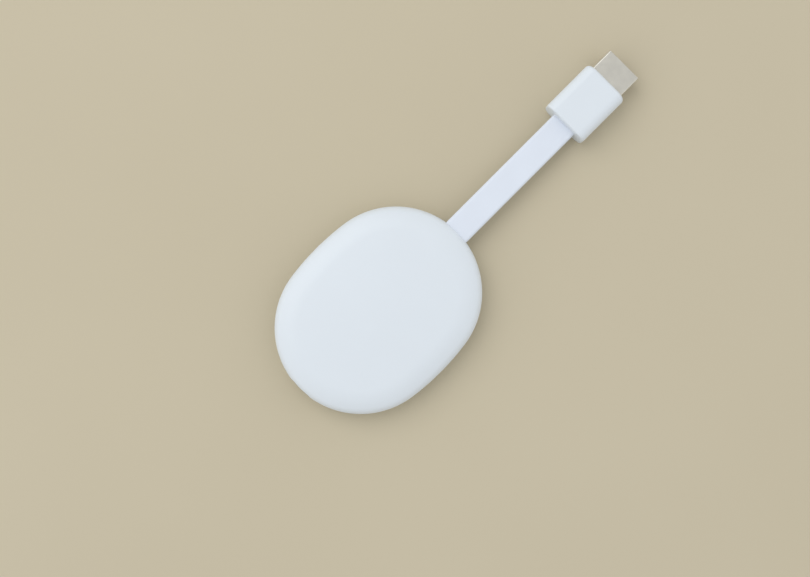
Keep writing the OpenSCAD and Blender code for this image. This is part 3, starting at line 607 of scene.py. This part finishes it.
plug_rings = [(PLUG_X, BACK_RING)] + fillet_rings(PLUG_X, 1, PLUG_BACK_R, steps=8)
plug_rings += [(PLUG_X + PLUG_L * share, 0) for share in (0.2, 0.4, 0.6, 0.8)]
plug_rings += fillet_rings(PLUG_END, -1, PLUG_FRONT_R, steps=12)[::-1] + [(PLUG_END, FRONT_RING)]
plug_box = skin("plug_box", [along_x(plug_outline(inset), x, PLUG_Z) for x, inset in plug_rings])
cut(plug_box, cable_slot(PLUG_X - OVERRUN, PLUG_X + PLUG_CUT_DEPTH, PLUG_Z),
    cutter_x(shell_outline(-SHELL_GAP), PLUG_END - PLUG_CUT_DEPTH, PLUG_END + OVERRUN, PLUG_Z))
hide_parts("plug_housing")

shell_rings = ([(SHELL_X, 0)] + [(SHELL_TIP - back, inset) for back, inset in SHELL_LIP]
               + [(SHELL_X, SHELL_SHEET)])
plug_metal = skin("plug_metal", [along_x(shell_outline(inset), x, PLUG_Z) for x, inset in shell_rings],
                  "satin_nickel", closed=True)
shell_foot = PLUG_Z - SHELL_H / 2
cut(plug_metal, *[cutter_z(rounded(LATCH_L, LATCH_W, LATCH_R, steps=4), SHELL_TIP - LATCH_X, y,
                           shell_foot - OVERRUN, shell_foot + OVERRUN) for y in (-LATCH_Y, LATCH_Y)])
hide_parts("plug_shell")

# Slots, bodies and carried pieces

for piece, surface, body in ((upper_casing, "white_plastic", "housing"),
                             (lower_casing, "white_plastic", "housing"),
                             (window, "light_guide_clear", "housing"),
                             (snap_dome, "screw_steel", "housing"),
                             (button, "white_plastic", "button"),
                             (plug_box, "white_plastic", "plug"),
                             (plug_metal, "satin_nickel", "plug")):
    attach(piece, body)
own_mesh(snap_dome)
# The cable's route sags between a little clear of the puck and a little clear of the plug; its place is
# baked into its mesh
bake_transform(cable)

slots = {s["node"]: s["material_slot"] for s in frame["record"]["subparts"]}
for node, obj in frame["nodes"].items():
    surface = SURFACES[slots[node]]
    if not obj.material_slots:
        obj.data.materials.append(surface)
    for material_slot in obj.material_slots:
        material_slot.material = surface

# Table and light

# The table top reaches so far each way, and lies so far under the part
TABLE_REACH, TABLE_DROP = 2000, 0.05
TABLE_SQUARES = 8
ROOM_COLOUR = (0.97, 0.985, 1.0, 1)
LAMP_PLACE = Vector((20, 860, 1230))
LAMP_SIZE, LAMP_POWER = 1400, 7.0


def room(least, more):
    """A plain world that grows brighter towards both sides of the camera's picture."""
    world = bpy.data.worlds.new("room")
    world.use_nodes = True
    tree = world.node_tree
    place = tree.nodes.new("ShaderNodeTexCoord")
    across = tree.nodes.new("ShaderNodeVectorMath")
    across.operation = "DOT_PRODUCT"
    across.inputs[1].default_value = (math.cos(CABLE_ANGLE), -math.sin(CABLE_ANGLE), 0)
    tree.links.new(place.outputs["Generated"], across.inputs[0])
    either = tree.nodes.new("ShaderNodeMath")
    either.operation = "ABSOLUTE"
    tree.links.new(across.outputs["Value"], either.inputs[0])
    level = tree.nodes.new("ShaderNodeMath")
    level.operation = "MULTIPLY_ADD"
    level.inputs[1].default_value = more
    level.inputs[2].default_value = least
    tree.links.new(either.outputs["Value"], level.inputs[0])
    tree.nodes["Background"].inputs["Color"].default_value = ROOM_COLOUR
    tree.links.new(level.outputs["Value"], tree.nodes["Background"].inputs["Strength"])
    return world


table_mesh = bpy.data.meshes.new("table_top")
grid = bmesh.new()
bmesh.ops.create_grid(grid, x_segments=TABLE_SQUARES, y_segments=TABLE_SQUARES,
                      size=TABLE_REACH * MM)
grid.to_mesh(table_mesh)
grid.free()
table_top = bpy.data.objects.new("table_top", table_mesh)
table_top.location = (0, 0, -TABLE_DROP * MM)
table_top.data.materials.append(table_surface("table_top"))
scene.collection.objects.link(table_top)

scene.world = room(least=0.48, more=0.68)

lamp_data = bpy.data.lights.new("window_key", "AREA")
lamp_data.shape = "DISK"
lamp_data.size = LAMP_SIZE * MM
lamp_data.energy = LAMP_POWER
lamp = bpy.data.objects.new("window_key", lamp_data)
lamp.location = LAMP_PLACE * MM
lamp.rotation_euler = (-LAMP_PLACE).to_track_quat("-Z", "Y").to_euler()
scene.collection.objects.link(lamp)
